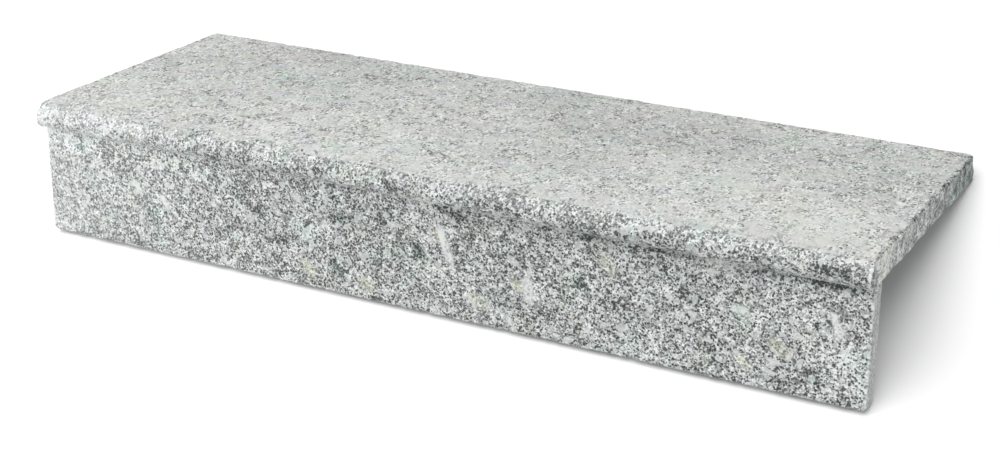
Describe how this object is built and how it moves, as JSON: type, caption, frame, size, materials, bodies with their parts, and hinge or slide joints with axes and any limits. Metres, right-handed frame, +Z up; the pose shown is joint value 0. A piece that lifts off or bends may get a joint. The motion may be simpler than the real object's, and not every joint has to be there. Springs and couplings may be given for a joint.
{
  "type": "granite stair tread and riser",
  "caption": "Granite stair tread slab with a rounded nose, lying on the top edge of a plain granite riser slab.",
  "frame": {"origin": "on the floor, at the middle of the step's length and of its depth as it rests", "axes": "+X along the nose, to the right seen from the front; +Y from the nose towards the back; +Z up. The slabs lean back 22.4 degrees about X, as they come to rest"},
  "size_m": [1, 0.3694, 0.1547],
  "materials": {
    "tread_granite": "flamed top, rubbed nose, sawn ends",
    "riser_granite": "honed front, sawn back and ends"
  },
  "bodies": {
    "root": {"tread": "tread_granite", "riser": "riser_granite"}
  },
  "joints": []
}
